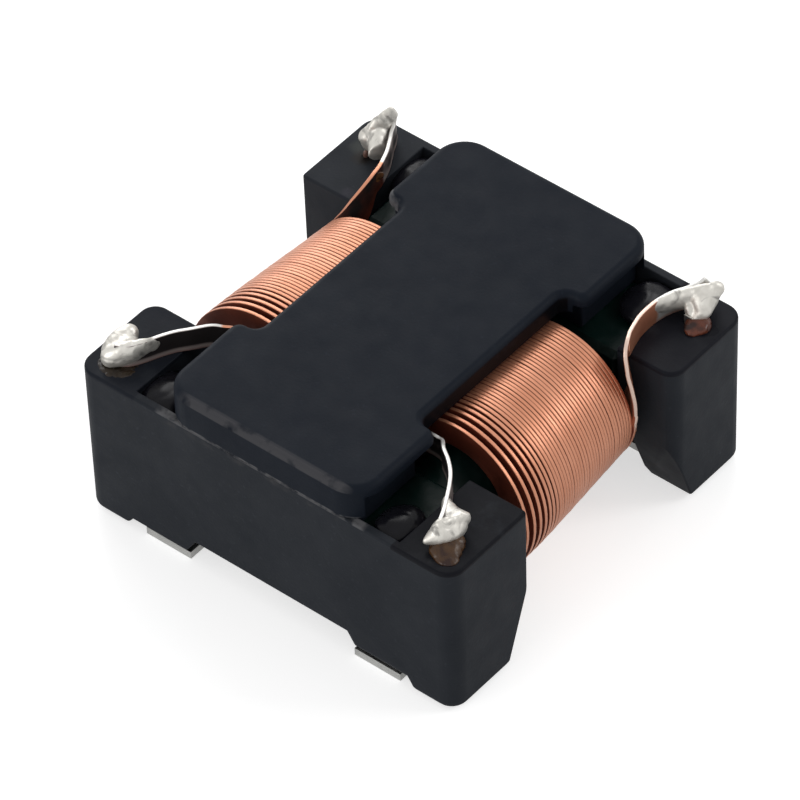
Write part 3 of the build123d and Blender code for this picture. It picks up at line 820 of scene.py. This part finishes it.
flux_pools = {
    "near_left": (
        [
            ((-6.9, -6.9, 6.53), (0.75, 0.65, 0.07), (0, 0, 0)),
        ],
        (0.02, 0.012, 0.006),
        (0.008, 0.005, 0.003),
    ),
    "near_right": (
        [
            ((6.98, -6.7, 6.6), (0.5, 0.66, 0.34), (0, 0, -16)),
            ((7.2, -7.05, 6.55), (0.5, 0.4, 0.16), (0, 0, 0)),
        ],
        (0.065, 0.03, 0.01),
        (0.02, 0.006, 0.003),
    ),
    "far_left": (
        [
            ((-5.42, 4.8, 7.2), (0.055, 0.28, 0.22), (0, 0, -14)),
        ],
        (0.16, 0.07, 0.026),
        (0.02, 0.01, 0.008),
    ),
    "far_right": (
        [
            ((7.1, 6.35, 6.62), (0.48, 0.42, 0.26), (0, 0, -30)),
            ((7.1, 5.98, 6.58), (0.3, 0.28, 0.16), (0, 12, 30)),
        ],
        (0.12, 0.034, 0.018),
        (0.022, 0.008, 0.006),
    ),
}
for corner, (pool, thin, thick) in flux_pools.items():
    rosin = run_together("flux_" + corner, pool, voxel=0.035, softening=6, folds=0.03, fold_size=0.35)
    rosin.data.materials.append(set_rosin("rosin " + corner, thin, thick))
    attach(rosin, "root")

tip_drop = ((-6.84, 5.88, 6.68), (0.1, 0.1, 0.16), (0, 0, 0))
pin_bump = run_together("post_tip_far_left", [tip_drop], voxel=0.025, softening=2, folds=0.008, fold_size=0.2)
pin_bump.data.materials.append(set_rosin("rosin on the post", (0.22, 0.13, 0.1), (0.1, 0.05, 0.04)))
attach(pin_bump, "root")


# ------------------------------------------------------------------------------------------ glue beads
# Black epoxy, laid by needle on the core beside each of the lid's corners. It has set with a rounded
# crown, a little taller where it wets the lid.
def black_epoxy():
    """Glossy black epoxy, with slight waves in its skin."""
    material, tree, shader, where = finish_nodes("black epoxy")
    haze = spread(tree, grain(tree, where, scale=1.1, detail=4.0), 0, 1)
    black = blended(tree, haze, (0.004, 0.004, 0.006), (0.009, 0.009, 0.012))
    tree.links.new(black, shader.inputs["Base Color"])
    waves = grain(tree, where, scale=1.6)
    tree.links.new(spread(tree, waves, low=0.16, high=0.34), shader.inputs["Roughness"])
    shader.inputs["Specular IOR Level"].default_value = 0.13
    relief(tree, shader, waves, depth=0.03, strength=0.4)
    return material


epoxy_finish = black_epoxy()
glue_pools = {
    "near_left": [
        ((-4.95, -6.62, 6.1), (0.9, 1.05, 0.42), (0, 0, 0)),
        ((-4.9, -6.5, 6.05), (0.95, 1.2, 0.4), (0, 0, 0)),
    ],
    "near_right": [
        ((4.9, -6.6, 6.12), (0.8, 0.98, 0.44), (0, 0, 0)),
        ((4.7, -6.9, 6.25), (0.5, 0.5, 0.34), (0, 0, 0)),
    ],
    "far_left": [
        ((-4.9, 6.45, 6.1), (1.0, 1.05, 0.42), (0, 0, 0)),
        ((-4.9, 6.6, 6.2), (0.9, 0.85, 0.3), (0, 0, 0)),
    ],
    "far_right": [
        ((4.9, 6.45, 6.1), (1.0, 1.05, 0.42), (0, 0, 0)),
        ((4.9, 6.6, 6.2), (0.9, 0.85, 0.3), (0, 0, 0)),
    ],
}
for corner in corners:
    pool = glue_pools[corner]
    bead = run_together("glue_" + corner, pool, voxel=0.05, softening=10, folds=0.02, fold_size=0.9)
    bead.data.materials.append(epoxy_finish)
    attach(bead, "root")
    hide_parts("glue_bead_" + corner)


# ------------------------------------------------------------------------------------------ floor and light
# Plain white table, an even white surround and four soft lamps: two from the far left, one low in front
# and one from the far right.
floor_size, floor_drop = 0.9, 0.00002
table_glow, mirrored_glow = 0.62, 0.3           # how bright the table shows directly and in the part's skin
surround_light, surround_shown = 0.6, 1.0
bpy.ops.mesh.primitive_plane_add(size=floor_size, location=(0, 0, -floor_drop))
floor = bpy.context.object
floor.name = "floor"
table_top = bpy.data.materials.new("white table")
table_top.use_nodes = True
table_tree = table_top.node_tree
table_shader = table_tree.nodes["Principled BSDF"]
table_shader.inputs["Base Color"].default_value = (0.66, 0.66, 0.66, 1)
table_shader.inputs["Roughness"].default_value = 0.9
table_shader.inputs["Specular IOR Level"].default_value = 0.0
seen = table_tree.nodes.new("ShaderNodeLightPath")
mirrored = worked(table_tree, "MAXIMUM", seen.outputs["Is Glossy Ray"], seen.outputs["Is Transmission Ray"])
mirrored = worked(table_tree, "MULTIPLY", mirrored, mirrored_glow)
direct = worked(table_tree, "MULTIPLY", seen.outputs["Is Camera Ray"], table_glow)
glow = worked(table_tree, "MAXIMUM", direct, mirrored)
table_tree.links.new(glow, table_shader.inputs["Emission Strength"])
table_shader.inputs["Emission Color"].default_value = (1, 1, 1, 1)
floor.data.materials.append(table_top)
bpy.ops.object.select_all(action="DESELECT")

lamp_distance = 0.5
lamps = (                                       # directions in degrees, sizes in metres, powers in watts
    ("back lamp", 220, 46, 0.2, 0.45),
    ("left lamp", 238, 20, 0.25, 0.55),
    ("front lamp", 350, 15, 0.25, 0.8),
    ("side lamp", 131, 36, 0.16, 0.5),
)
for name, azimuth, elevation, size, power in lamps:
    a, e = math.radians(azimuth), math.radians(elevation)
    out = Vector((math.sin(a) * math.cos(e), -math.cos(a) * math.cos(e), math.sin(e)))
    lamp = bpy.data.lights.new(name, "AREA")
    lamp.shape = "SQUARE"
    lamp.size = size
    lamp.energy = power
    holder = bpy.data.objects.new(name, lamp)
    bpy.context.scene.collection.objects.link(holder)
    holder.location = out * lamp_distance
    holder.rotation_mode = "QUATERNION"
    holder.rotation_quaternion = (-out).to_track_quat("-Z", "Y")

world = bpy.data.worlds.new("white surround")
bpy.context.scene.world = world
world.use_nodes = True
world_tree = world.node_tree
surround = world_tree.nodes["Background"]
surround.inputs["Color"].default_value = (1, 1, 1, 1)
path = world_tree.nodes.new("ShaderNodeLightPath")
shown = worked(world_tree, "MAXIMUM", path.outputs["Is Camera Ray"], path.outputs["Is Glossy Ray"])
shown = worked(world_tree, "MAXIMUM", shown, path.outputs["Is Transmission Ray"])
strength = spread(world_tree, shown, low=surround_light, high=surround_shown, start=0, end=1)
world_tree.links.new(strength, surround.inputs["Strength"])


# ------------------------------------------------------------------------------------------ camera
# From the near right, well above the part, with a long lens and a slight roll.
camera_azimuth, camera_elevation, camera_roll = 40.818, 44.835, 2.087
camera_distance = 0.25
camera_target = Vector((0, 0, 4.0 * mm))
a, e = math.radians(camera_azimuth), math.radians(camera_elevation)
forward = Vector((-math.sin(a) * math.cos(e), math.cos(a) * math.cos(e), -math.sin(e)))
level = Vector((math.cos(a), math.sin(a), 0))
above = level.cross(forward)
turn = Matrix((level, above, -forward)).transposed() @ Matrix.Rotation(-math.radians(camera_roll), 3, "Z")
camera = bpy.data.objects.new("camera", bpy.data.cameras.new("camera"))
bpy.context.scene.collection.objects.link(camera)
camera.location = camera_target - forward * camera_distance
camera.rotation_mode = "QUATERNION"
camera.rotation_quaternion = turn.to_quaternion()
camera.data.lens = 337.5
camera.data.sensor_width = 36
camera.data.shift_x = -0.01724
camera.data.shift_y = -0.0078
camera.data.clip_start = 0.01
bpy.context.scene.camera = camera
bpy.context.scene.view_settings.view_transform = "Standard"
